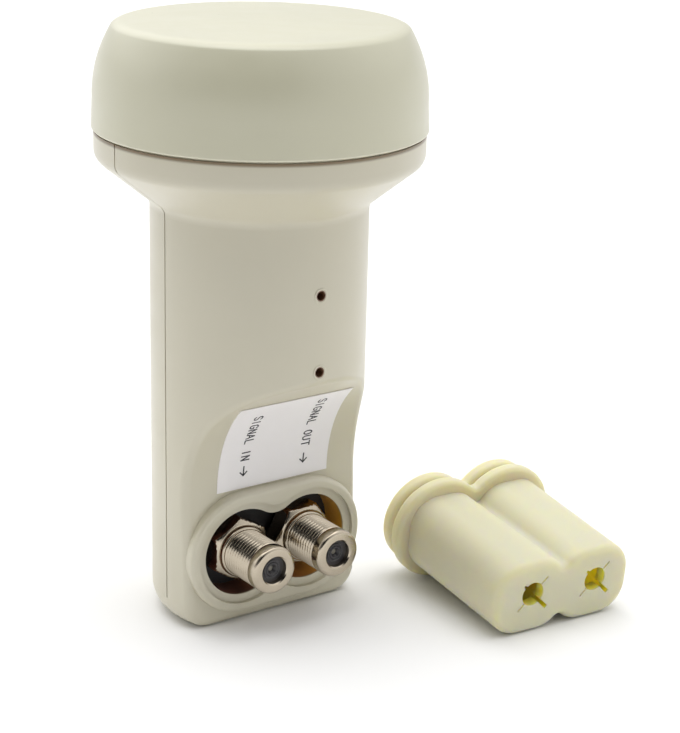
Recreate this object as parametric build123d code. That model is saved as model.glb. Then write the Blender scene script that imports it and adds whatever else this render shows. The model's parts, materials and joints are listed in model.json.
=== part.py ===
from build123d import *
import os
from math import asin, atan2, cos, degrees, hypot, radians, sin, sqrt, tan

os.makedirs("parts", exist_ok=True)

# Satellite LNB standing on its base, in millimetres.
# The origin is the middle of the base on the axis of the neck, Z is up, the ports face -Y.

# Housing, split in a front and a rear shell on the plane y = 0
body_r = 20.0             # neck for a 40 mm clamp
shell_wall = 2.0
base_round = 5.0
flange_top_z = 92.5       # the cap sits here
flange_high = 4.7         # straight rim of the flange
flare_high = 8.0          # cone between the neck and the flange
flange_step = 0.4         # the cap stands out past the flange by this much
neck_blend = 2.5
neck_margin = 1.4         # the straight neck starts this far above the scoop
body_draft = 0.12         # degrees, the body below the neck narrows toward the base
flange_round = 2.6
seam_depth = 0.7          # shadow line along the split
seam_width = 0.3
lip_wall = 1.1            # tongue that laps behind the split
lip_reach = 1.6
lip_play = 0.15
lip_root = 1.7
lip_low_z = 8.0
seat_wide = 2.6           # inner ledge that carries the horn disc
seat_thick = 2.0

# Scoop in the front of the body
facet_y = -5.3            # deepest line of the scoop
facet_lean = 2.8          # degrees, the flat part under it leans out toward the base
scoop_r = 26.0
scoop_z = 26.1            # height of the deepest line
scoop_edge = 1.6

# Ports
port_spacing = 14.2
port_z = 13.9
port_face_y = -17.3
port_r = 4.6
port_bore_r = 2.6
port_tip_round = 1.0
hex_flats = 11.1
hex_front_y = -6.2
hex_back_y = -2.2
hex_turn = (30.0, 2.0)    # degrees, left and right port as tightened
stud_r = 4.3
stud_depth = 7.4
insulator_setback = 1.0
tail_r = 1.6              # thin rear end of the insulator
contact_r = 0.5
contact_setback = 1.6
solder_high = 0.5         # pins stand out of the board by this much

# Twin boss around the ports
boss_r = 11.9
boss_rim_y = -7.6
boss_round = 0.9
mouth_r = 8.5
mouth_blend = 5.0
mouth_floor_y = -0.8      # the sleeve behind the mouth ends on the gasket here
sleeve_wall = 0.9
ledge_r = 10.1            # shallow twin-lobed seat for the boot flange
ledge_depth = 0.8
gasket_thick = 1.5
gasket_r = 9.0
gasket_play = 0.2         # around the ports

# Two small vents on the front of the neck
vent_r = 0.85
vent_z = (51.9, 66.1)

# Sticker
label_wide = 24.6
label_lift = 0.1          # lower edge above the deepest line of the scoop
label_high = 18.7
label_thick = 0.15

# Cap over the horn
cap_r = 30.3
cap_gap = 0.35            # shadow line above the flange
cap_wall = 1.8
cap_draft = 0.25
cap_straight = 5.6        # height of the straight skirt
cap_shoulder = (1.05, 12.1)   # in from the skirt, up from the flange
cap_edge = (3.4, 17.7)
cap_crown = 0.4           # rise of the top toward its middle
cap_edge_round = 1.0
cap_foot = 0.9            # inner part of the skirt that stands on the shells
cap_foot_round = 0.3

# Seal ring between the horn disc and the cap
seal_section_r = 1.0
seal_gap = 0.7            # to the inside of the cap
seal_press = 1.6          # bead of the cap over the ring
seal_cover = 0.6

# Die-cast horn, waveguide and chassis
guide_r = 8.75            # round waveguide for 10.7 to 12.75 GHz
guide_wall = 1.6
guide_floor = 2.5
guide_play = 0.6          # to the inside of the scoop
throat_drop = 10.0        # the horn starts to open this far below the flange
horn_high = 12.0          # and ends this far above it
horn_r = 17.5
disc_thick = 2.5
disc_play = 0.2
ring_wall = 1.3
ring_pitch = 2.5
ring_play = 0.25
ring_high = (7.5, 10.0)   # outer and inner ring
chassis_play = 0.8        # to the inside of the shells
tray_wall = 1.2
tray_floor = 1.0          # least metal between the waveguide and the board
tray_depth = 2.5
tray_skirt = 2.4          # depth of the tray below its floor
tray_low_z = 5.0
tray_drop = 8.5           # below the flange
block_r = 7.6             # round the studs of the ports
lid_play = 0.3
lid_thick = 1.2
screw_low = 4.0           # screws in from the ends of the tray
screw_edge = 0.6          # metal between a screw head and the edge of the cover
screw_r = 0.8
screw_head_r = 1.5
screw_length = 3.4
screw_post_r = 2.0

# Circuit board and what it carries
board_thick = 0.8
board_play = 0.3
chip_side = 4.0
chip_high = 0.9
chip_z = 40.0
crystal_size = (3.2, 2.5, 0.8)
crystal_round = 0.5
crystal_z = 33.5
regulator_size = (6.4, 5.6, 1.4)
regulator_z = 22.5
transistor_size = (2.0, 1.3, 0.9)
transistor_x = 3.2
transistor_rise = 3.2     # first stage above the vertical probe

# Pick-ups in the waveguide
probe_r = 0.6
probe_reach = 6.3         # into the waveguide from its wall
probe_bend = 6.2
short_high = 8.6          # horizontal probe above the closed end
rod_rise = 6.3            # rod above the horizontal probe
probe_rise = 12.5         # vertical probe above the horizontal one
bush_r = 1.9
bush_sink = 0.6
rod_r = 1.0

# Twin rubber boot, taken off and lying beside the housing
boot_flange_r = 10.4
boot_flange_wide = 2.8
boot_groove_r = 8.8
boot_groove_wide = 1.3
boot_bead_r = 9.6
boot_bead_wide = 3.0
boot_ring_round = 0.9
boot_body_wide = 15.4     # each lobe at the collar
boot_body_high = 15.6
boot_body_round = 6.0
boot_body_long = 29.9
boot_collar_spacing = 15.7
boot_end_spacing = 14.6
boot_end_wide = 16.6
boot_end_high = 14.7
boot_end_round = 6.0
boot_end_edge = 1.6
boot_blend = 1.5
boot_tube_r = 5.7
boot_end_wall = 2.4
cable_r = 2.45
cable_rise = 1.0          # cable holes above the middle of the end
slits = ((45, 4.4, 0.35), (135, 3.0, 0.6), (225, 4.4, 0.35), (315, 5.0, 0.8))   # degrees, reach, width
boot_turn = -4.1          # degrees, heading on the floor
boot_end_x = 42.1
boot_end_y = -41.8

# Cutters run past the faces they open by this much
past = 5.0
span = 6 * body_r


def block(x0, x1, y0, y1, z0, z1):
    middle = Pos((x0 + x1) / 2, (y0 + y1) / 2, (z0 + z1) / 2)
    return middle * Box(x1 - x0, y1 - y0, z1 - z0)


def rod_y(radius, y0, y1, x, z):
    return Pos(x, (y0 + y1) / 2, z) * Rot(90, 0, 0) * Cylinder(radius, abs(y1 - y0))


def rod_x(radius, x0, x1, y, z):
    return Pos((x0 + x1) / 2, y, z) * Rot(0, 90, 0) * Cylinder(radius, abs(x1 - x0))


def rounded(face, corners):
    for r, z, radius in corners:
        nearest = sorted(face.vertices(), key=lambda v: hypot(v.X - r, v.Y - z))[0]
        face = fillet(nearest, radius)
    return face


def turned(points, corners=()):
    face = rounded(make_face(Polyline(*points, close=True)), corners)
    return revolve(Plane.XZ * face, Axis.Z)


def ring(inside_r, outside_r, z0, z1):
    return turned(((inside_r, z0), (outside_r, z0), (outside_r, z1), (inside_r, z1)))


def facing(y, z):
    return Plane(origin=(0, y, z), x_dir=(1, 0, 0), z_dir=(0, -1, 0))


def bend(middle, radius, start, end):
    return CenterArc(middle, radius, start, end - start)


def lobed(half_wide, half_high, corner, spacing, blend):
    # Two rounded lobes side by side, joined by a hollow blend above and below
    near_x = spacing / 2 - half_wide + corner
    far_x = spacing / 2 + half_wide - corner
    z = half_high - corner
    top = z + sqrt((corner + blend) ** 2 - near_x ** 2)
    lean = degrees(atan2(top - z, -near_x))
    tilt = 180 - lean
    return make_face([
        bend((near_x, z), corner, lean, 90),
        Line((near_x, z + corner), (far_x, z + corner)),
        bend((far_x, z), corner, 90, 0),
        Line((far_x + corner, z), (far_x + corner, -z)),
        bend((far_x, -z), corner, 0, -90),
        Line((far_x, -z - corner), (near_x, -z - corner)),
        bend((near_x, -z), corner, -90, -lean),
        bend((0, -top), blend, tilt, lean),
        bend((-near_x, -z), corner, lean - 180, -90),
        Line((-near_x, -z - corner), (-far_x, -z - corner)),
        bend((-far_x, -z), corner, -90, -180),
        Line((-far_x - corner, -z), (-far_x - corner, z)),
        bend((-far_x, z), corner, 180, 90),
        Line((-far_x, z + corner), (-near_x, z + corner)),
        bend((-near_x, z), corner, 90, tilt),
        bend((0, top), blend, tilt - 180, -tilt),
    ])


def twin(radius, spacing, blend):
    # Two full circles with the cusps between them filled to the blend radius
    reach = sqrt((radius + blend) ** 2 - (spacing / 2) ** 2)
    share = radius / (radius + blend)
    x, z = spacing / 2 * (1 - share), reach * share
    side = spacing / 2 + radius
    waist = reach - blend
    return make_face([
        ThreePointArc((x, z), (side, 0), (x, -z)),
        ThreePointArc((x, -z), (0, -waist), (-x, -z)),
        ThreePointArc((-x, -z), (-side, 0), (-x, z)),
        ThreePointArc((-x, z), (0, waist), (x, z)),
    ])


def twin_block(radius, spacing, blend, y0, y1, z):
    return extrude(facing(y1, z) * twin(radius, spacing, blend), amount=y1 - y0)


def stadium_block(radius, spacing, y0, y1, z):
    lobes = Pos(-spacing / 2, 0) * Circle(radius) + Pos(spacing / 2, 0) * Circle(radius)
    return extrude(facing(y1, z) * (lobes + Rectangle(spacing, 2 * radius)), amount=y1 - y0)


def save(name, shape):
    export_step(shape, "parts/" + name + ".step")


# Sizes that follow from the ones above
inside_r = body_r - shell_wall
flange_r = cap_r - flange_step
flare_top_z = flange_top_z - flange_high
neck_top_z = flare_top_z - flare_high
flare_angle = atan2(flange_r - body_r, flare_high)
scoop_y = facet_y - scoop_r
facet_rad = radians(facet_lean)
wall_back_y = facet_y + shell_wall
port_back_y = mouth_floor_y + gasket_thick
neck_low_z = scoop_z + sqrt(scoop_r ** 2 - (scoop_y + body_r) ** 2) + neck_margin
port_x = {"left": -port_spacing / 2, "right": port_spacing / 2}


def scoop_cutter(inset):
    reach = scoop_r + inset
    arc = rod_x(reach, -span, span, scoop_y, scoop_z)
    touch = (scoop_y + reach * cos(facet_rad), scoop_z - reach * sin(facet_rad))
    low = (touch[0] - span * sin(facet_rad), touch[1] - span * cos(facet_rad))
    far_y = scoop_y - body_r
    side = Polyline((scoop_y, scoop_z), touch, low, (far_y, low[1]), (far_y, scoop_z), close=True)
    return arc + extrude(Plane.YZ * make_face(side), amount=span, both=True)


def housing(inset, top_z):
    # Whole housing with every wall moved inward by inset
    lift = inset * tan(flare_angle / 2)
    neck = (body_r - inset, neck_top_z + lift)
    brim = (flange_r - inset, flare_top_z + lift)
    low = (body_r - inset, neck_low_z)
    foot = (low[0] - (neck_low_z - inset) * tan(radians(body_draft)), inset)
    points = ((0, inset), foot, low, neck, brim, (flange_r - inset, top_z), (0, top_z))
    corners = (
        (foot[0], foot[1], base_round - inset),
        (neck[0], neck[1], neck_blend + inset),
        (brim[0], brim[1], flange_round - inset),
    )
    return turned(points, corners) - scoop_cutter(inset)


def on_scoop(edge):
    p = edge @ 0.5
    along = (p.Y - scoop_y) * cos(facet_rad) - (p.Z - scoop_z) * sin(facet_rad)
    on_flat = abs(along - scoop_r) < 0.01 and p.Z < scoop_z
    on_arc = abs(hypot(p.Y - scoop_y, p.Z - scoop_z) - scoop_r) < 0.01
    across = abs((edge @ 0).Z - (edge @ 1).Z) < 0.01 and base_round < p.Z < scoop_z
    return (on_flat or on_arc) and not across


outer = housing(0, flange_top_z)
outer = fillet([e for e in outer.edges() if on_scoop(e)], scoop_edge)
inner = housing(shell_wall, flange_top_z + past)

# Inner ledge for the horn disc, and the shadow line along the split
seat_r = flange_r - shell_wall
seat_top_z = flange_top_z - disc_thick
seat = ring(seat_r - seat_wide, seat_r + shell_wall / 2, seat_top_z - seat_thick, seat_top_z)
hollow = outer - inner + (seat & outer)
seam_line = block(-span, span, -seam_width / 2, seam_width / 2, base_round, flange_top_z + past)
hollow = hollow - (seam_line - housing(seam_depth, flange_top_z + past))

# Rear shell
rear_shell = hollow & block(-span, span, 0, span, -past, span)
save("rear_shell", rear_shell)

# Front shell with the twin boss, its stepped mouth, the vents and the lapping tongue
front_shell = hollow & block(-span, span, -span, 0, -past, span)
boss = stadium_block(boss_r, port_spacing, boss_rim_y, wall_back_y, port_z)
rim = [e for e in boss.edges() if abs((e @ 0.5).Y - boss_rim_y) < 0.01]
front_shell += fillet(rim, boss_round)
front_shell += twin_block(mouth_r + sleeve_wall, port_spacing, mouth_blend, facet_y, mouth_floor_y, port_z)
ledge_y = boss_rim_y + ledge_depth
front_shell -= twin_block(ledge_r, port_spacing, mouth_blend, boss_rim_y - past, ledge_y, port_z)
front_shell -= twin_block(mouth_r, port_spacing, mouth_blend, boss_rim_y - past, 0, port_z)
for z in vent_z:
    front_shell -= rod_y(vent_r, -body_r - past, -inside_r + past, 0, z)
lip_high_z = neck_top_z - neck_blend
lip_in_r = inside_r - lip_play - lip_wall
tongue = ring(lip_in_r, inside_r - lip_play, lip_low_z, lip_high_z)
root = ring(lip_in_r, inside_r + shell_wall / 2, lip_low_z, lip_high_z)
tongue = tongue & block(-span, span, -lip_root, lip_reach, -past, span)
root = root & block(-span, span, -lip_root, -seam_width, -past, span)
front_shell += tongue + root
save("front_shell", front_shell)

# Sticker on the scoop
label_low_z = scoop_z + label_lift
port_label = rod_x(scoop_r, -label_wide / 2, label_wide / 2, scoop_y, scoop_z)
port_label -= rod_x(scoop_r - label_thick, -span, span, scoop_y, scoop_z)
port_label = port_label & block(-span, span, scoop_y, 0, label_low_z, label_low_z + label_high)
save("port_label", port_label)

# Cap
skirt_z = flange_top_z + cap_gap
straight_z = flange_top_z + cap_straight
shoulder = (cap_r - cap_shoulder[0], flange_top_z + cap_shoulder[1])
edge = (cap_r - cap_edge[0], flange_top_z + cap_edge[1])
top_z = edge[1] + cap_crown
cap_in_r = cap_r - cap_wall
shoulder_in = (shoulder[0] - cap_wall, shoulder[1] - cap_draft)
edge_in = (edge[0] - cap_wall, edge[1] - cap_wall)
seal_r = cap_in_r - seal_gap - seal_section_r
bead_r = seal_r - seal_cover
bead_z = flange_top_z + 2 * seal_section_r
foot_r = cap_in_r + cap_foot
cap_lines = [
    ThreePointArc((cap_r - cap_draft, straight_z), shoulder, edge),
    ThreePointArc(edge_in, shoulder_in, (cap_in_r - cap_draft, straight_z)),
    Polyline(edge, (0, top_z), (0, top_z - cap_wall), edge_in),
    Polyline(
        (cap_in_r - cap_draft, straight_z),
        (cap_in_r, bead_z + seal_press),
        (bead_r, bead_z + seal_press),
        (bead_r, bead_z),
        (cap_in_r, bead_z),
        (cap_in_r, flange_top_z),
        (foot_r, flange_top_z),
        (foot_r, skirt_z),
        (cap_r, skirt_z),
        (cap_r - cap_draft, straight_z),
    ),
]
cap_corners = ((edge[0], edge[1], cap_edge_round), (cap_r, skirt_z, cap_foot_round))
feed_cap = revolve(Plane.XZ * rounded(make_face(cap_lines), cap_corners), Axis.Z)
save("feed_cap", feed_cap)

# Seal ring
save("cap_seal_ring", Pos(0, 0, flange_top_z + seal_section_r) * Torus(seal_r, seal_section_r))

# Horn, waveguide and chassis in one casting
guide_out_r = guide_r + guide_wall
horn_out_r = horn_r + guide_wall
scoop_clear = -guide_out_r - guide_play - scoop_y
guide_foot_z = scoop_z + sqrt((scoop_r + shell_wall) ** 2 - scoop_clear ** 2)
guide_floor_z = guide_foot_z + guide_floor
throat_z = flange_top_z - throat_drop
mouth_z = flange_top_z + horn_high
tray_floor_y = guide_r + tray_floor
tray_rim_y = tray_floor_y + tray_depth
tray_high_z = flange_top_z - tray_drop
tray_half = sqrt((inside_r - chassis_play) ** 2 - tray_rim_y ** 2)
tray_in = tray_half - tray_wall
lid_top_y = tray_rim_y + lid_thick
lid_half = min(tray_half, sqrt((inside_r - lid_play) ** 2 - lid_top_y ** 2))
screw_x = lid_half - screw_head_r - screw_edge
screw_z = (tray_low_z + screw_low, (tray_low_z + tray_high_z) / 2, tray_high_z - screw_low)
posts = [(side * screw_x, z) for z in screw_z for side in (-1, 1)]
probe_horizontal_z = guide_floor_z + short_high
probe_vertical_z = probe_horizontal_z + probe_rise
rod_z = probe_horizontal_z + rod_rise

casting = turned((
    (0, guide_foot_z),
    (guide_out_r, guide_foot_z),
    (guide_out_r, throat_z),
    (horn_out_r, mouth_z),
    (0, mouth_z),
))
casting += ring(0, seat_r - disc_play, seat_top_z, flange_top_z)
ring_r = seal_r - seal_section_r - ring_play - ring_wall
for count, high in enumerate(ring_high):
    near_r = ring_r - count * ring_pitch
    casting += ring(near_r, near_r + ring_wall, flange_top_z - disc_thick / 2, flange_top_z + high)
tray_front_y = tray_floor_y - tray_skirt
casting += block(-tray_half, tray_half, tray_front_y, tray_rim_y, tray_low_z, tray_high_z)
port_block = stadium_block(block_r, port_spacing, port_back_y, tray_floor_y, port_z)
casting += port_block & ring(0, lip_in_r - lip_play, 0, flange_top_z)
casting -= turned((
    (0, guide_floor_z),
    (guide_r, guide_floor_z),
    (guide_r, throat_z),
    (horn_r, mouth_z),
    (0, mouth_z),
))
well_low_z = tray_low_z + tray_wall
well_high_z = tray_high_z - tray_wall
well = block(-tray_in, tray_in, tray_floor_y, tray_rim_y + past, well_low_z, well_high_z)
for x, z in posts:
    well -= rod_y(screw_post_r, tray_floor_y - past, tray_rim_y + 2 * past, x, z)
casting -= well
screw_tip_y = tray_rim_y + lid_thick - screw_length
for x, z in posts:
    casting -= rod_y(screw_r, screw_tip_y, tray_rim_y + past, x, z)
for x in port_x.values():
    casting -= rod_y(stud_r, port_back_y - past, port_back_y + stud_depth, x, port_z)
    casting -= rod_y(tail_r, port_back_y, tray_floor_y + past, x, port_z)
for z in (probe_vertical_z, probe_horizontal_z):
    casting -= rod_y(bush_r, 0, tray_floor_y + past, 0, z)
casting -= rod_x(rod_r, -guide_out_r - past, guide_out_r + past, 0, rod_z)
save("horn_casting", casting)

# Tray cover and its screws, heads flush
chassis_lid = block(-lid_half, lid_half, tray_rim_y, lid_top_y, tray_low_z, tray_high_z)
lid_screws = []
for x, z in posts:
    head = Pos(x, tray_rim_y + lid_thick / 2, z) * Rot(-90, 0, 0) * Cone(screw_r, screw_head_r, lid_thick)
    chassis_lid -= head
    lid_screws.append(head + rod_y(screw_r, screw_tip_y, tray_rim_y + lid_thick / 2, x, z))
save("chassis_lid", chassis_lid)
save("lid_screws", Compound(children=lid_screws))

# Circuit board with round notches at the posts
board_y = tray_floor_y + board_thick
board_half = tray_in - board_play
board = block(
    -board_half,
    board_half,
    tray_floor_y,
    board_y,
    well_low_z + board_play,
    well_high_z - board_play,
)
for x, z in posts:
    board -= rod_y(screw_post_r + board_play, tray_floor_y - past, board_y + past, x, z)
for z in (probe_vertical_z, probe_horizontal_z):
    board -= rod_y(probe_r, tray_floor_y - past, board_y + past, 0, z)
for x in port_x.values():
    board -= rod_y(contact_r, tray_floor_y - past, board_y + past, x, port_z)
save("circuit_board", board)


def on_board(size, x, z):
    wide, high, thick = size
    return block(x - wide / 2, x + wide / 2, board_y, board_y + thick, z - high / 2, z + high / 2)


save("converter_chip", on_board((chip_side, chip_side, chip_high), 0, chip_z))
crystal = on_board(crystal_size, 0, crystal_z)
save("crystal_can", fillet(crystal.edges().filter_by(Axis.Y), crystal_round))
save("voltage_regulator", on_board(regulator_size, 0, regulator_z))
stages = ((0, probe_vertical_z + transistor_rise), (-transistor_x, rod_z), (transistor_x, rod_z))
transistors = [on_board(transistor_size, x, z) for x, z in stages]
save("amplifier_transistors", Compound(children=transistors))

# Probes, their bushes and the rod between them
pin_end_y = board_y + solder_high
save("vertical_probe", rod_y(probe_r, guide_r - probe_reach, pin_end_y, 0, probe_vertical_z))
horizontal_probe = rod_y(probe_r, 0, pin_end_y, 0, probe_horizontal_z)
horizontal_probe += Pos(0, 0, probe_horizontal_z) * Sphere(probe_r)
horizontal_probe += rod_x(probe_r, 0, probe_bend, 0, probe_horizontal_z)
save("horizontal_probe", horizontal_probe)
bushes = []
for z in (probe_vertical_z, probe_horizontal_z):
    bush = rod_y(bush_r, guide_r - bush_sink, tray_floor_y, 0, z)
    bushes.append(bush - rod_y(probe_r, 0, tray_floor_y + past, 0, z))
save("probe_bushes", Compound(children=bushes))
save("isolation_rod", rod_x(rod_r, -guide_out_r, guide_out_r, 0, rod_z))

# Gasket between the casting and the front shell
gasket = stadium_block(gasket_r, port_spacing, mouth_floor_y, port_back_y, port_z)
for x in port_x.values():
    gasket -= rod_y(port_r + gasket_play, mouth_floor_y - past, port_back_y + past, x, port_z)
save("port_gasket", gasket & ring(0, lip_in_r - lip_play, 0, flange_top_z))

# Ports
hex_corner_r = hex_flats / 2 / cos(radians(30))
for name, turn in zip(port_x, hex_turn):
    x = port_x[name]
    barrel = rod_y(port_r, port_face_y, port_back_y, x, port_z)
    front = [e for e in barrel.edges() if abs((e @ 0.5).Y - port_face_y) < 0.01]
    body = fillet(front, port_tip_round)
    hexagon = Rot(0, 0, turn) * RegularPolygon(hex_corner_r, 6)
    body += Pos(x, 0, 0) * extrude(facing(hex_back_y, port_z) * hexagon, amount=hex_back_y - hex_front_y)
    body += rod_y(stud_r, port_back_y, port_back_y + stud_depth, x, port_z)
    body -= rod_y(port_bore_r, port_face_y - past, port_back_y + stud_depth + past, x, port_z)
    save("port_body_" + name, body)
    insulator_y = port_face_y + insulator_setback
    insulator = rod_y(port_bore_r, insulator_y, port_back_y + stud_depth, x, port_z)
    insulator += rod_y(tail_r, port_back_y, tray_floor_y, x, port_z)
    insulator -= rod_y(contact_r, insulator_y - past, tray_floor_y + past, x, port_z)
    save("port_insulator_" + name, insulator)
    save("port_contact_" + name, rod_y(contact_r, port_face_y + contact_setback, pin_end_y, x, port_z))


def boot_ring(radius, y0, y1):
    body = twin_block(radius, boot_collar_spacing, boot_blend, y0, y1, 0)
    ends = [e for e in body.edges() if abs((e @ 0).Y - (e @ 1).Y) < 0.01]
    return fillet(ends, boot_ring_round)


# Boot, built with the middle of its cable end on the origin and its collar toward +Y
collar_y = boot_body_long
groove_y = collar_y + boot_flange_wide
bead_y = groove_y + boot_groove_wide
back_y = bead_y + boot_bead_wide
near = lobed(boot_body_wide / 2, boot_body_high / 2, boot_body_round, boot_collar_spacing, boot_blend)
far = lobed(boot_end_wide / 2, boot_end_high / 2, boot_end_round, boot_end_spacing, boot_blend)
barrel = loft([(facing(collar_y, 0) * near).face(), (facing(0, 0) * far).face()])
boot = fillet([e for e in barrel.edges() if abs((e @ 0.5).Y) < 0.01], boot_end_edge)
boot += boot_ring(boot_flange_r, collar_y, groove_y)
boot += twin_block(boot_groove_r, boot_collar_spacing, boot_blend, collar_y, bead_y + boot_bead_wide / 2, 0)
boot += boot_ring(boot_bead_r, bead_y, back_y)
tube_spacing = (boot_collar_spacing + boot_end_spacing) / 2
for side in (-1, 1):
    boot -= rod_y(boot_tube_r, boot_end_wall, back_y + past, side * tube_spacing / 2, 0)
    x = side * boot_end_spacing / 2
    boot -= rod_y(cable_r, -past, boot_end_wall + past, x, cable_rise)
    for angle, reach, wide in slits:
        slit = block(0, reach, -past, boot_end_wall + past, -wide / 2, wide / 2)
        boot -= Pos(x, 0, cable_rise) * Rot(0, -angle, 0) * slit
boot_tilt = degrees(asin((boot_flange_r - boot_end_high / 2) / boot_body_long))
boot = Rot(0, 0, boot_turn) * Rot(boot_tilt, 0, 0) * boot
connector_boot = Pos(boot_end_x, boot_end_y, -boot.bounding_box().min.Z) * boot
save("connector_boot", connector_boot)
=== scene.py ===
import json
import bmesh
import bpy
import numpy as np
from mathutils import Matrix


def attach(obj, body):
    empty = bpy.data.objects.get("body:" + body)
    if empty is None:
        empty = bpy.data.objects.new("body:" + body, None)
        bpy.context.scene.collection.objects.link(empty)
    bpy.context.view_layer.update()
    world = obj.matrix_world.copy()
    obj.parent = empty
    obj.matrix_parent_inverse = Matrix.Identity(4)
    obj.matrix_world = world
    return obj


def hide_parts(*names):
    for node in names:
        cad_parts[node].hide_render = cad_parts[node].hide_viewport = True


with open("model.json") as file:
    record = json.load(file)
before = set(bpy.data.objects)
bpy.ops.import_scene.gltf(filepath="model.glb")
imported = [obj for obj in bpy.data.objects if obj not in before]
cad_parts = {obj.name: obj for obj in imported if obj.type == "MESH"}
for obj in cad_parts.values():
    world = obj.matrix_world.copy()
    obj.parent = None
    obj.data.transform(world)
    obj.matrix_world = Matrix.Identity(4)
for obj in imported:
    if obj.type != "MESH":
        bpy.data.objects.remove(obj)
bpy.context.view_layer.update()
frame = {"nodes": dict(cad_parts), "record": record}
nodes = frame["nodes"]
print("frame loaded,", len(nodes), "nodes")

mm = 0.001  # lengths below are in millimetres, while Blender's are in metres
portSpacing = 14.2
portHeight = 13.9
ventHeights = (51.9, 66.1)


# meshes from whole arrays

def quadObject(name, points, quads, sharp=35):
    mesh = bpy.data.meshes.new(name)
    mesh.vertices.add(len(points))
    mesh.vertices.foreach_set("co", (points * mm).astype(np.float32).ravel())
    mesh.loops.add(quads.size)
    mesh.loops.foreach_set("vertex_index", quads.astype(np.int32).ravel())
    mesh.polygons.add(len(quads))
    mesh.polygons.foreach_set("loop_start", np.arange(0, quads.size, 4, dtype=np.int32))
    mesh.update(calc_edges=True)
    mesh.validate()
    mesh.polygons.foreach_set("use_smooth", np.ones(len(mesh.polygons), bool))
    mesh.set_sharp_from_angle(angle=np.radians(sharp))
    obj = bpy.data.objects.new(name, mesh)
    bpy.context.scene.collection.objects.link(obj)
    return obj


def gridObject(name, points, closeRows=False, poles=False, sharp=35):
    # a sheet of quads over a rows x columns x 3 array, its columns always closed to a ring
    rows, cols = points.shape[:2]
    index = np.arange(rows * cols).reshape(rows, cols)
    index = np.hstack([index, index[:, :1]])
    if closeRows:
        index = np.vstack([index, index[:1]])
    quads = np.stack([index[:-1, :-1], index[:-1, 1:], index[1:, 1:], index[1:, :-1]], axis=-1)
    obj = quadObject(name, points.reshape(-1, 3), quads.reshape(-1, 4), sharp)
    if poles:
        # rings of no width become one point each
        work = bmesh.new()
        work.from_mesh(obj.data)
        bmesh.ops.remove_doubles(work, verts=work.verts, dist=0.0001 * mm)
        work.to_mesh(obj.data)
        work.free()
    return obj


def circle(count):
    return np.linspace(0, 2 * np.pi, count, endpoint=False)


def roundRows(r, z, count):
    # a profile of radius r over height z turned about the z axis: x = r cos a, y = r sin a
    a = circle(count)
    r, z = r[:, None], z[:, None]
    return np.stack([r * np.cos(a), r * np.sin(a), np.repeat(z, count, 1)], axis=-1)


# node helpers

def newMaterial(name):
    mat = bpy.data.materials.new(name)
    mat.use_nodes = True
    tree = mat.node_tree
    tree.nodes.clear()
    out = tree.nodes.new("ShaderNodeOutputMaterial")
    shader = tree.nodes.new("ShaderNodeBsdfPrincipled")
    tree.links.new(shader.outputs[0], out.inputs[0])
    place = tree.nodes.new("ShaderNodeTexCoord")
    return mat, tree, shader, place.outputs["Object"]


def feed(tree, socket, value):
    # another node's output is linked, and anything else is set on the socket
    if isinstance(value, bpy.types.NodeSocket):
        tree.links.new(value, socket)
    else:
        socket.default_value = value


def noise(tree, place, scale, detail=3.0):
    node = tree.nodes.new("ShaderNodeTexNoise")
    for key, value in (("Vector", place), ("Scale", scale), ("Detail", detail)):
        feed(tree, node.inputs[key], value)
    return node.outputs["Fac"]


def ramp(tree, fac, stops):
    node = tree.nodes.new("ShaderNodeValToRGB")
    points = node.color_ramp.elements
    while len(points) < len(stops):
        points.new(0.5)
    for point, (at, tone) in zip(points, stops):
        point.position = at
        point.color = (*tone, 1.0)
    feed(tree, node.inputs[0], fac)
    return node.outputs[0]


def span(tree, value, low, high, toLow=0.0, toHigh=1.0):
    node = tree.nodes.new("ShaderNodeMapRange")
    node.interpolation_type = "SMOOTHSTEP"
    keys = ("Value", "From Min", "From Max", "To Min", "To Max")
    for key, number in zip(keys, (value, low, high, toLow, toHigh)):
        feed(tree, node.inputs[key], number)
    return node.outputs[0]


def fade(tree, value, start, full):
    # 0 at start and 1 at full, both in millimetres
    return span(tree, value, start * mm, full * mm)


def maths(tree, kind, a, b=0.0):
    node = tree.nodes.new("ShaderNodeMath")
    node.operation = kind
    feed(tree, node.inputs[0], a)
    feed(tree, node.inputs[1], b)
    return node.outputs[0]


def product(tree, first, *others):
    for other in others:
        first = maths(tree, "MULTIPLY", first, other)
    return first


def distance(tree, a, b):
    # root of the sum of both squares
    squares = maths(tree, "ADD", maths(tree, "POWER", a, 2.0), maths(tree, "POWER", b, 2.0))
    return maths(tree, "SQRT", squares)


def vectorMaths(tree, kind, vector, other=(0, 0, 0)):
    node = tree.nodes.new("ShaderNodeVectorMath")
    node.operation = kind
    feed(tree, node.inputs[0], vector)
    feed(tree, node.inputs[1], other)
    return node.outputs


def along(tree, vector, way):
    return vectorMaths(tree, "DOT_PRODUCT", vector, way)["Value"]


def split(tree, vector):
    node = tree.nodes.new("ShaderNodeSeparateXYZ")
    feed(tree, node.inputs[0], vector)
    return node.outputs


def blendColour(tree, fac, a, b):
    node = tree.nodes.new("ShaderNodeMix")
    node.data_type = "RGBA"
    for count, value in ((0, fac), (6, a), (7, b)):
        feed(tree, node.inputs[count], (*value, 1.0) if isinstance(value, tuple) else value)
    return node.outputs[2]


# what all finishes share: their clouds, gloss, specks, clear coat and grain
finish = dict(low=0.3, high=0.7, glossCloud=4, glossSpread=0.04, speckScale=150, speckShade=0.45,
              speckCore=0.5, coatRough=0.3, grainDetail=2.0, grainDepth=0.1)


def clouded(tree, place, scale, tone, shift):
    # a cloud between a slightly darker and a slightly lighter tone
    dark = tuple(c * (1 - shift) for c in tone)
    light = tuple(min(1.0, c * (1 + shift)) for c in tone)
    return ramp(tree, noise(tree, place, scale), [(finish["low"], dark), (finish["high"], light)])


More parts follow.
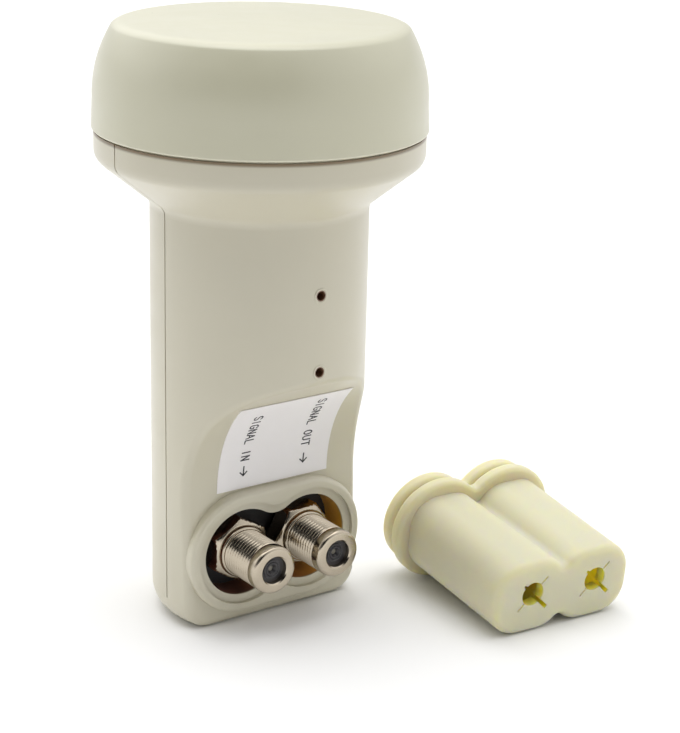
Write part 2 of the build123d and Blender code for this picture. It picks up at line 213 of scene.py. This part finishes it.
def specks(tree, place, radius):
    # a few small dots: the surface shows them where it passes close to a scattered point
    node = tree.nodes.new("ShaderNodeTexVoronoi")
    feed(tree, node.inputs["Scale"], finish["speckScale"])
    feed(tree, node.inputs["Vector"], place)
    reach = radius * mm * finish["speckScale"]
    return span(tree, node.outputs["Distance"], reach, reach * finish["speckCore"])


def grain(tree, shader, height, strength):
    node = tree.nodes.new("ShaderNodeBump")
    feed(tree, node.inputs["Strength"], strength)
    feed(tree, node.inputs["Distance"], finish["grainDepth"] * mm)
    feed(tree, node.inputs["Height"], height)
    feed(tree, shader.inputs["Normal"], node.outputs[0])


def surface(name, look):
    # slow cloud of two near tones, a finer cloud in the gloss, specks, and a fine grain in the relief
    mat, tree, shader, place = newMaterial(name)
    colour = clouded(tree, place, look["cloud"], look["tone"], look["shift"])
    if "speck" in look:
        shade = tuple(c * finish["speckShade"] for c in look["tone"])
        colour = blendColour(tree, specks(tree, place, look["speck"]), colour, shade)
    rough, spread = look["rough"], finish["glossSpread"]
    gloss = noise(tree, place, look["cloud"] * finish["glossCloud"])
    gloss = span(tree, gloss, finish["low"], finish["high"], rough - spread, rough + spread)
    settings = {"Base Color": colour, "Roughness": gloss, "Metallic": look.get("metal", 0.0),
                "Specular IOR Level": look.get("shine", 0.5), "Coat Weight": look.get("coat", 0.0),
                "Coat Roughness": finish["coatRough"]}
    if "under" in look:
        settings.update({"Subsurface Weight": look["under"], "Subsurface Radius": look["depth"],
                         "Subsurface Scale": mm})
    for key, value in settings.items():
        feed(tree, shader.inputs[key], value)
    grain(tree, shader, noise(tree, place, look["grain"], finish["grainDetail"]), look.get("relief", 0.15))
    return mat, tree, shader, place, colour


looks = {
    "cap_plastic": dict(tone=(0.605, 0.588, 0.435), shift=0.02, cloud=45, rough=0.4, shine=0.9, coat=0.4,
                        grain=2600, relief=0.06, speck=0.24),
    "housing_plastic": dict(tone=(0.62, 0.582, 0.45), shift=0.02, cloud=45, rough=0.4, shine=0.9, coat=0.4,
                            grain=2600, relief=0.06),
    "label_film": dict(tone=(0.915, 0.89, 0.885), shift=0.012, cloud=120, rough=0.4, grain=1500, relief=0.05),
    "seal_rubber": dict(tone=(0.012, 0.010, 0.010), shift=0.25, cloud=150, rough=0.55, grain=1800),
    "cast_alloy": dict(tone=(0.60, 0.60, 0.60), shift=0.06, cloud=90, rough=0.42, grain=1400, metal=1.0),
    "lid_alloy": dict(tone=(0.68, 0.68, 0.68), shift=0.04, cloud=70, rough=0.32, grain=2200, metal=1.0),
    "screw_steel": dict(tone=(0.62, 0.62, 0.63), shift=0.05, cloud=300, rough=0.3, grain=3000, metal=1.0),
    "board_laminate": dict(tone=(0.04, 0.20, 0.08), shift=0.12, cloud=260, rough=0.35, grain=2400),
    "chip_resin": dict(tone=(0.020, 0.020, 0.022), shift=0.2, cloud=500, rough=0.5, grain=4000),
    "can_steel": dict(tone=(0.70, 0.70, 0.68), shift=0.04, cloud=400, rough=0.28, grain=3000, metal=1.0),
    "contact_brass": dict(tone=(0.78, 0.62, 0.36), shift=0.06, cloud=500, rough=0.24, grain=4000, metal=1.0),
    "white_dielectric": dict(tone=(0.80, 0.80, 0.78), shift=0.03, cloud=300, rough=0.4, grain=3000),
    "port_nickel": dict(tone=(0.48, 0.42, 0.33), shift=0.05, cloud=260, rough=0.2, grain=5000, relief=0.05,
                        metal=1.0),
    "black_dielectric": dict(tone=(0.035, 0.033, 0.036), shift=0.2, cloud=500, rough=0.34, grain=3000),
    "boot_rubber": dict(tone=(0.67, 0.643, 0.465), shift=0.02, cloud=60, rough=0.5, grain=2200, relief=0.08,
                        under=0.8, depth=(5.6, 4.3, 0.45)),
}
mats = {slotName: surface(slotName, look) for slotName, look in looks.items()}

# painted highlight: the lower lip of the cap is painted paler, where its rounded edge catches light from the
# floor
lip = dict(height=(93.3, 93.0), tone=(0.80, 0.77, 0.60))
tree, shader, place, colour = mats["cap_plastic"][1:]
lipHighlight = fade(tree, split(tree, place)[2], *lip["height"])
feed(tree, shader.inputs["Base Color"], blendColour(tree, lipHighlight, colour, lip["tone"]))

# painted shade: the edge of the flange, in the joint under the cap, is painted brown
seamShade = dict(height=(91.7, 92.3), tone=(0.15, 0.09, 0.02))
tree, shader, place, colour = mats["housing_plastic"][1:]
x, y, z = split(tree, place)
colour = blendColour(tree, fade(tree, z, *seamShade["height"]), colour, seamShade["tone"])

# painted shade: the two vents are painted dark brown inside and round their edges, standing in for the shade
# in the holes
ventShade = dict(reach=(1.05, 0.93), front=(-15.5, -16.0), tone=(0.20, 0.10, 0.05))
for height in ventHeights:
    reach = distance(tree, x, maths(tree, "SUBTRACT", z, height * mm))
    ventShaded = product(tree, fade(tree, reach, *ventShade["reach"]), fade(tree, y, *ventShade["front"]))
    colour = blendColour(tree, ventShaded, colour, ventShade["tone"])

# painted shade and light: behind its rim the mouth round the ports is painted nearly black on the left, where
# it lies in shade, and amber on the right, where light comes through its walls
mouth = dict(reach=(9.65, 9.45), front=(-6.75, -6.25), back=(-0.4, -0.7),
             tones=[(0.0, (0.42, 0.16, 0.11)), (0.3, (0.14, 0.055, 0.035)), (0.5, (0.34, 0.12, 0.035)),
                    (0.65, (0.60, 0.22, 0.045)), (0.95, (0.95, 0.52, 0.07))])
fromPort = maths(tree, "SUBTRACT", maths(tree, "ABSOLUTE", x), portSpacing / 2 * mm)
reach = distance(tree, fromPort, maths(tree, "SUBTRACT", z, portHeight * mm))
mouthShadeGlowMask = product(tree, fade(tree, reach, *mouth["reach"]), fade(tree, y, *mouth["front"]),
                 fade(tree, y, *mouth["back"]))
mouthWidth = portSpacing + 2 * mouth["reach"][0]
fromLeft = maths(tree, "ADD", maths(tree, "MULTIPLY", x, 1 / (mouthWidth * mm)), 0.5)
mouthShadeAndGlow = ramp(tree, fromLeft, mouth["tones"])
feed(tree, shader.inputs["Base Color"], blendColour(tree, mouthShadeGlowMask, colour, mouthShadeAndGlow))

# light comes through the thin walls of the boot, so its two tubes glow golden near the closed end
tubes = dict(end=(42.1, -41.8, 7.21), turn=-4.1, tilt=5.85, spacing=15.0, reach=(6.2, 6.0),
             start=(0.15, 0.45), stop=(24.0, 11.0), tone=(0.98, 0.80, 0.20), depth=(9.0, 6.5, 0.8))
tree, shader, place, colour = mats["boot_rubber"][1:]
turn, tilt = np.radians(tubes["turn"]), np.radians(tubes["tilt"])
sideways = np.array([np.cos(turn), np.sin(turn), 0])
lengthwise = np.array([-np.sin(turn) * np.cos(tilt), np.cos(turn) * np.cos(tilt), np.sin(tilt)])
upward = np.cross(sideways, lengthwise)
fromEnd = vectorMaths(tree, "SUBTRACT", place, np.array(tubes["end"]) * mm)["Vector"]
across = maths(tree, "ABSOLUTE", along(tree, fromEnd, sideways))
fromTube = maths(tree, "SUBTRACT", across, tubes["spacing"] / 2 * mm)
reach = distance(tree, fromTube, along(tree, fromEnd, upward))
deep = along(tree, fromEnd, lengthwise)
inside = product(tree, fade(tree, reach, *tubes["reach"]), fade(tree, deep, *tubes["start"]),
                 fade(tree, deep, *tubes["stop"]))
rubber = looks["boot_rubber"]
feed(tree, shader.inputs["Base Color"], blendColour(tree, inside, colour, tubes["tone"]))
feed(tree, shader.inputs["Subsurface Radius"], blendColour(tree, inside, rubber["depth"], tubes["depth"]))
feed(tree, shader.inputs["Subsurface Weight"], span(tree, inside, 0.0, 1.0, rubber["under"], 1.0))
print("materials made,", len(mats))


def paint(nodeName, mat):
    mesh = nodes[nodeName].data
    mesh.materials.clear()
    mesh.materials.append(mat)


def dress(obj, slotName, *stoodFor):
    obj.data.materials.append(mats[slotName][0])
    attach(obj, "root")
    if stoodFor:
        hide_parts(*stoodFor)


for row in frame["record"]["subparts"]:
    paint(row["node"], mats[row["material_slot"]][0])

# painted shade: the contacts, deep in their plugs, get a dark metal tone for the shade they lie in
contactShade = dict(looks["port_nickel"], tone=(0.16, 0.15, 0.13), rough=0.35)
contactMat = surface("contact_painted_shade", contactShade)[0]
for side in ("left", "right"):
    paint("port_contact_" + side, contactMat)
print("solids painted")

# the cap's side runs on a little above the solid's edge and turns softly into a faint crown
crown = dict(around=240, centre=(7.02, 98.565), radius=23.034, swell=0.04, low=108.6, high=110.7, rise=0.75,
             end=(24.0, 111.66), reach=1.1, top=111.85, sunk=0.6, steps=25, rings=24)


def crownRows(k):
    # side: the cap's own arc, r = centre + sqrt((radius + swell s)^2 - (z - centre)^2), s = t^2 (3 - 2t)
    t = np.linspace(0, 1, k["steps"])
    z = k["low"] + (k["high"] - k["low"]) * t
    bend = k["radius"] + k["swell"] * t ** 2 * (3 - 2 * t)
    side = np.stack([k["centre"][0] + np.sqrt(bend ** 2 - (z - k["centre"][1]) ** 2), z], axis=1)
    # edge: a cubic curve (1-t)^3 p0 + 3t(1-t)^2 p1 + 3t^2(1-t) p2 + t^3 p3 that leaves along the arc
    p0, p3 = side[-1], np.array(k["end"])
    outward = (p0 - k["centre"]) / bend[-1]
    p1 = p0 + k["rise"] * np.array([-outward[1], outward[0]])
    p2 = p3 + np.array([k["reach"], 0])
    t = t[1:, None]
    edge = (1 - t) ** 3 * p0 + 3 * t * (1 - t) ** 2 * p1 + 3 * t ** 2 * (1 - t) * p2 + t ** 3 * p3
    # top: a parabola to the middle; the underside lies inside the cap
    r = np.linspace(p3[0], 0, k["rings"])[1:]
    dome = np.stack([r, k["top"] - (k["top"] - p3[1]) * (r / p3[0]) ** 2], axis=1)
    foot = side[0] - k["sunk"]
    r, z = np.concatenate([[(0, foot[1]), foot], side, edge, dome]).T
    return roundRows(r, z, k["around"])


dress(gridObject("cap_crown", crownRows(crown), poles=True), "cap_plastic")
print("cap crowned")

# screw ports with their fine thread; each side has its place across and the turn of its hexagon in degrees
port = dict(
    around=192, face=-17.3, back=8.1, radius=4.6, bore=2.6, lead=0.25, tip=0.8, bendSteps=9,
    collar=2.2, runIn=0.5, crest=0.06, depth=0.36, pitch=0.794, perTurn=12, ridgeGain=1.35, ridgeCut=0.12,
    shoulder=0.9, shoulderRise=0.5, hexFront=-6.2, hexBack=-2.2, flats=11.1, chamfer=0.3, coneSlope=1.6,
    cornerSteps=(0.0, 0.08, 0.2, 0.35, 0.55, 0.8), barrelBack=0.7, stud=4.3,
    sides={"left": (-portSpacing / 2, 30.0), "right": (portSpacing / 2, 2.0)},
)


def sweptRows(y, r, angle):
    # radius r at each y and angle, round the port's axis: x = r cos a, z = r sin a
    return np.stack([r * np.cos(angle), np.repeat(y[:, None], len(angle), 1), r * np.sin(angle)], axis=-1)


def turnedRows(profile, angle):
    # every profile point (y, r) carried round the port's axis with the same radius
    y, r = np.array(profile, float).T
    return sweptRows(y, r[:, None] * np.ones_like(angle), angle)


def portRows(p, turn):
    angle = circle(p["around"])
    bend = np.linspace(0, np.pi / 2, p["bendSteps"])
    # front: out of the bore, over its small lead, across the face and round the tip by a quarter circle
    tipY = p["face"] + p["tip"] * (1 - np.sin(bend))
    tipR = p["radius"] - p["tip"] * (1 - np.cos(bend))
    front = [(p["back"], p["bore"]), (p["face"] + p["lead"], p["bore"]), (p["face"], p["bore"] + p["lead"])]
    front = turnedRows(front + list(zip(tipY[::-1], tipR[::-1])), angle)
    # thread: r = radius - crest - depth * ridge(y / pitch - a / turn), a cut triangle that fades in and out
    start, end = p["face"] + p["collar"], p["hexFront"] - p["shoulder"]
    y = np.arange(start, end, p["pitch"] / p["perTurn"])
    phase = y[:, None] / p["pitch"] - angle / (2 * np.pi)
    ridge = np.clip(p["ridgeGain"] * np.abs(2 * (phase % 1.0) - 1) - p["ridgeCut"], 0, 1)
    inOut = np.clip(np.minimum(y - start, end - y) / p["runIn"], 0, 1)[:, None]
    thread = sweptRows(y, p["radius"] - inOut * (p["crest"] + p["depth"] * ridge), angle)
    # shoulder: a quarter round that swells from the barrel toward the hexagon
    swell = p["radius"] + p["shoulderRise"] * np.sin(bend)
    shoulder = turnedRows(list(zip(p["hexFront"] - p["shoulder"] * np.cos(bend), swell)), angle)
    # hexagon: r = half the flats / cos(a from the middle of a flat), cut by a cone at its front corners
    away = (np.degrees(angle) - turn) % 60 - 30
    flat = p["flats"] / 2 / np.cos(np.radians(away))
    depth = np.array([*p["cornerSteps"], p["hexBack"] - p["hexFront"]])
    cone = p["flats"] / 2 - p["chamfer"] + depth[:, None] * p["coneSlope"]
    hexagon = sweptRows(p["hexFront"] + depth, np.minimum(flat, cone), angle)
    # tail: the barrel behind the hexagon, then a thinner stud
    tail = [(p["hexBack"], p["radius"]), (p["barrelBack"], p["radius"]), (p["barrelBack"], p["stud"]),
            (p["back"], p["stud"])]
    return np.concatenate([front, thread, shoulder, hexagon, turnedRows(tail, angle)])


for side, (x, turn) in port["sides"].items():
    rows = portRows(port, turn) + np.array([x, 0, portHeight])
    obj = gridObject("port_screw_" + side, rows[::-1], closeRows=True, sharp=40)
    dress(obj, "port_nickel", "port_body_" + side)
print("ports threaded")

# insulators with a stepped face and a funnel round the contact
plug = dict(around=96, face=-16.3, radius=2.6, step=0.22, stepSlope=0.06, ring=1.75, groove=0.12, funnel=0.95,
            hole=0.5, sink=0.5, back=8.1, tail=1.6, end=9.75)


def plugRows(p):
    # r over y: funnel out of the hole, inner disc with a fine groove, a ring one step lower, wall, thin tail
    face, low = p["face"], p["face"] + p["step"]
    middle = (p["funnel"] + p["ring"]) / 2
    profile = [
        (p["end"], p["hole"]), (face + p["sink"], p["hole"]), (face, p["funnel"]),
        (face, middle - p["groove"]), (face + p["groove"], middle), (face, middle + p["groove"]),
        (face, p["ring"]), (low, p["ring"] + p["stepSlope"]), (low, p["radius"]),
        (p["back"], p["radius"]), (p["back"], p["tail"]), (p["end"], p["tail"]),
    ]
    return turnedRows(profile, circle(p["around"]))


for side, (x, turn) in port["sides"].items():
    rows = plugRows(plug) + np.array([x, 0, portHeight])
    obj = gridObject("port_plug_" + side, rows[::-1], closeRows=True, sharp=30)
    dress(obj, "black_dielectric", "port_insulator_" + side)
print("insulators turned")

# soft raised rims round the two vents, lying on the neck
vent = dict(radius=1.22, section=0.2, squash=0.6, neck=20.0, around=64, sectionSteps=12)


def rimRows(v, height):
    # a thin ring whose middle line follows the neck: y = -sqrt(neck^2 - x^2), its section a flattened circle
    a, b = circle(v["around"]), circle(v["sectionSteps"])[:, None]
    r = v["radius"] + v["section"] * np.cos(b)
    x = r * np.cos(a)
    y = -np.sqrt(v["neck"] ** 2 - x ** 2) - v["section"] * v["squash"] * np.sin(b)
    return np.stack([x, y, height + r * np.sin(a)], axis=-1)


for count, height in enumerate(ventHeights):
    rows = rimRows(vent, height)
    dress(gridObject("vent_rim_%d" % (count + 1), rows, closeRows=True), "housing_plastic")
print("vents rimmed")

# plain words on the sticker, read downward, each with an arrow toward its port
ink = dict(
    stroke=0.25, overlap=0.35, high=1.75, wide=0.93, gap=0.35, lift=0.03,
    words={"SIGNAL IN": (-7.6, 3.95), "SIGNAL OUT": (5.8, 2.3)},  # where each starts, across and along
    arrow=(16.5, 1.9, 0.75),  # start, length, head
    scoop=(-31.3, 26.1, 25.85), top=44.9,  # y, z and radius of the film's face, and its upper edge
    tone=(0.025, 0.025, 0.03), shift=0.4, cloud=900, rough=0.5,
)
oval = np.linspace(0, 2 * np.pi, 15)
letters = {
    "S": [[(.95, .85), (.75, .98), (.25, .98), (.05, .86), (.05, .66), (.25, .55),
           (.75, .46), (.95, .34), (.95, .14), (.75, .02), (.25, .02), (.05, .15)]],
    "I": [[(.5, 0), (.5, 1)]],
    "G": [[(.95, .82), (.72, .98), (.28, .98), (.05, .78), (.05, .22), (.28, .02), (.72, .02), (.95, .22),
           (.95, .46), (.6, .46)]],
    "N": [[(.05, 0), (.05, 1), (.95, 0), (.95, 1)]],
    "A": [[(0, 0), (.5, 1), (1, 0)], [(.2, .36), (.8, .36)]],
    "L": [[(.1, 1), (.1, 0), (.9, 0)]],
    "O": [list(zip(.5 + .46 * np.sin(oval), .5 + .5 * np.cos(oval)))],
    "U": [[(.05, 1), (.05, .22), (.28, .02), (.72, .02), (.95, .22), (.95, 1)]],
    "T": [[(0, 1), (1, 1)], [(.5, 1), (.5, 0)]],
    " ": [],
}


def penLines(k):
    # every stroke as a line in (along, across) on the film: the letters, one pitch apart, then the arrow
    lines = []
    for word, (sideStart, start) in k["words"].items():
        for count, letter in enumerate(word):
            pen = start + count * (k["wide"] + k["gap"])
            lines += [np.array(line) * (k["wide"], k["high"]) + (pen, sideStart) for line in letters[letter]]
        tail, long, head = k["arrow"]
        middle, tip = sideStart + k["high"] / 2, tail + long
        lines.append(np.array([(tail, middle), (tip, middle)]))
        lines.append(np.array([(tip - head, middle - head), (tip, middle), (tip - head, middle + head)]))
    return lines


def printRows(k):
    # a strip from p to q for every stroke, half its width to both sides
    lines = penLines(k)
    p = np.concatenate([line[:-1] for line in lines])
    q = np.concatenate([line[1:] for line in lines])
    way = (q - p) / np.linalg.norm(q - p, axis=1, keepdims=True)
    half = np.stack([-way[:, 1], way[:, 0]], axis=1) * k["stroke"] / 2
    more = way * k["stroke"] * k["overlap"]
    p, q = p - more, q + more
    flat = np.stack([p - half, q - half, q + half, p + half], axis=1).reshape(-1, 2)
    # round the scoop: the angle falls from the film's top edge by the length along it
    y0, z0, r = k["scoop"]
    theta = np.arcsin((k["top"] - z0) / r) - flat[:, 0] / r
    r = r - k["lift"]
    points = np.stack([flat[:, 1], y0 + r * np.cos(theta), z0 + r * np.sin(theta)], axis=1)
    return points, np.arange(len(points)).reshape(-1, 4)


inkMat, tree, shader, place = newMaterial("label_ink")
feed(tree, shader.inputs["Base Color"], clouded(tree, place, ink["cloud"], ink["tone"], ink["shift"]))
feed(tree, shader.inputs["Roughness"], ink["rough"])
obj = quadObject("label_print", *printRows(ink))
body = obj.modifiers.new("body", "SOLIDIFY")  # from its face down to the film
body.thickness = ink["lift"] * mm
body.offset = -1
obj.data.materials.append(inkMat)
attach(obj, "root")
print("sticker printed")

# pale floor that rises to a low wall far out, the light it throws back fading away from the object
floorLook = dict(flat=2500, wide=4000, high=900, around=96, steps=24, tone=0.92, shift=0.004, cloud=3,
                 rough=0.9, near=100, far=400, bounce=0.4)


def floorRows(k):
    # z = high * (1 - cos t) over a quarter turn from the flat part to the wall, turned round the middle
    t = np.linspace(0, np.pi / 2, k["steps"])
    r = np.concatenate([[0, k["flat"] / 2], k["flat"] + (k["wide"] - k["flat"]) * np.sin(t)])
    z = np.concatenate([[0, 0], k["high"] * (1 - np.cos(t))])
    return roundRows(r, z, k["around"])


floor = gridObject("floor", floorRows(floorLook)[::-1], poles=True)
floorMat, tree, shader, place = newMaterial("floor")
pale, dim = (floorLook["tone"],) * 3, (floorLook["bounce"],) * 3
seen = clouded(tree, place, floorLook["cloud"], pale, floorLook["shift"])
fromMiddle = vectorMaths(tree, "LENGTH", place)["Value"]
thrown = ramp(tree, fade(tree, fromMiddle, floorLook["near"], floorLook["far"]), [(0.0, pale), (1.0, dim)])
path = tree.nodes.new("ShaderNodeLightPath").outputs
direct = maths(tree, "MAXIMUM", path["Is Camera Ray"], path["Is Glossy Ray"])
direct = maths(tree, "MAXIMUM", direct, path["Is Transmission Ray"])
feed(tree, shader.inputs["Base Color"], blendColour(tree, direct, thrown, seen))
feed(tree, shader.inputs["Roughness"], floorLook["rough"])
feed(tree, shader.inputs["Specular IOR Level"], 0.0)
floor.data.materials.append(floorMat)
print("floor laid")

# camera: place and turns, the focal length and the middle of the lens in pixels of the frame
shot = dict(place=(-193.75, -294.83, 164.38), pitch=18.46, yaw=2.87, roll=1.53,
            focal=1986.77, middle=(352.44, 372.04), frame=(680, 733), sensor=36.0)
spot = np.array(shot["place"])
pitch, roll = np.radians(shot["pitch"]), np.radians(shot["roll"])
heading = np.arctan2(-spot[0], -spot[1]) + np.radians(shot["yaw"])
forward = np.array([np.sin(heading) * np.cos(pitch), np.cos(heading) * np.cos(pitch), -np.sin(pitch)])
right = np.cross(forward, (0, 0, 1))
right /= np.linalg.norm(right)
up = np.cross(right, forward)
right, up = np.cos(roll) * right + np.sin(roll) * up, -np.sin(roll) * right + np.cos(roll) * up
pose = np.eye(4)
pose[:3] = np.stack([right, up, -forward, spot * mm], axis=1)
camera = bpy.data.objects.new("camera", bpy.data.cameras.new("camera"))
bpy.context.scene.collection.objects.link(camera)
camera.matrix_world = Matrix(pose.tolist())
wide, high = shot["frame"]
camera.data.sensor_width = shot["sensor"]
camera.data.lens = shot["focal"] / high * shot["sensor"]
camera.data.shift_x = (wide / 2 - shot["middle"][0]) / high
camera.data.shift_y = (shot["middle"][1] - high / 2) / high
bpy.context.scene.camera = camera
bpy.context.scene.view_settings.view_transform = "Standard"
print("camera set")

# studio light: large soft fields, each named by its turn to the left of the camera and its rise, in degrees
sky = dict(base=0.01, fields={
    "overhead": dict(turn=0, rise=90, start=0.75, full=1.0, strength=3.15),
    "highBehind": dict(turn=180, rise=62, start=0.5, full=0.95, strength=0.5),
    "behind": dict(turn=180, rise=12, start=0.3, full=0.95, strength=0.42),
    "left": dict(turn=85, rise=18, start=0.4, full=0.95, strength=0.36),
    "leftBehind": dict(turn=125, rise=22, start=0.4, full=0.95, strength=1.4),
    "right": dict(turn=-85, rise=18, start=0.4, full=0.95, strength=1.07),
    "rightBehind": dict(turn=-125, rise=22, start=0.4, full=0.95, strength=0.28),
})
world = bpy.data.worlds.new("studio")
bpy.context.scene.world = world
world.use_nodes = True
tree = world.node_tree
tree.nodes.clear()
out = tree.nodes.new("ShaderNodeOutputWorld")
glow = tree.nodes.new("ShaderNodeBackground")
feed(tree, out.inputs[0], glow.outputs[0])
view = tree.nodes.new("ShaderNodeTexCoord").outputs["Generated"]
bearing = np.arctan2(spot[1], spot[0])
total = sky["base"]
for field in sky["fields"].values():
    # strength times a smooth step of the cosine between the ray and the field's middle
    turn, rise = bearing - np.radians(field["turn"]), np.radians(field["rise"])
    middle = (np.cos(turn) * np.cos(rise), np.sin(turn) * np.cos(rise), np.sin(rise))
    lit = span(tree, along(tree, view, middle), field["start"], field["full"], 0.0, field["strength"])
    total = maths(tree, "ADD", lit, total)
feed(tree, glow.inputs["Strength"], total)
print("light set")
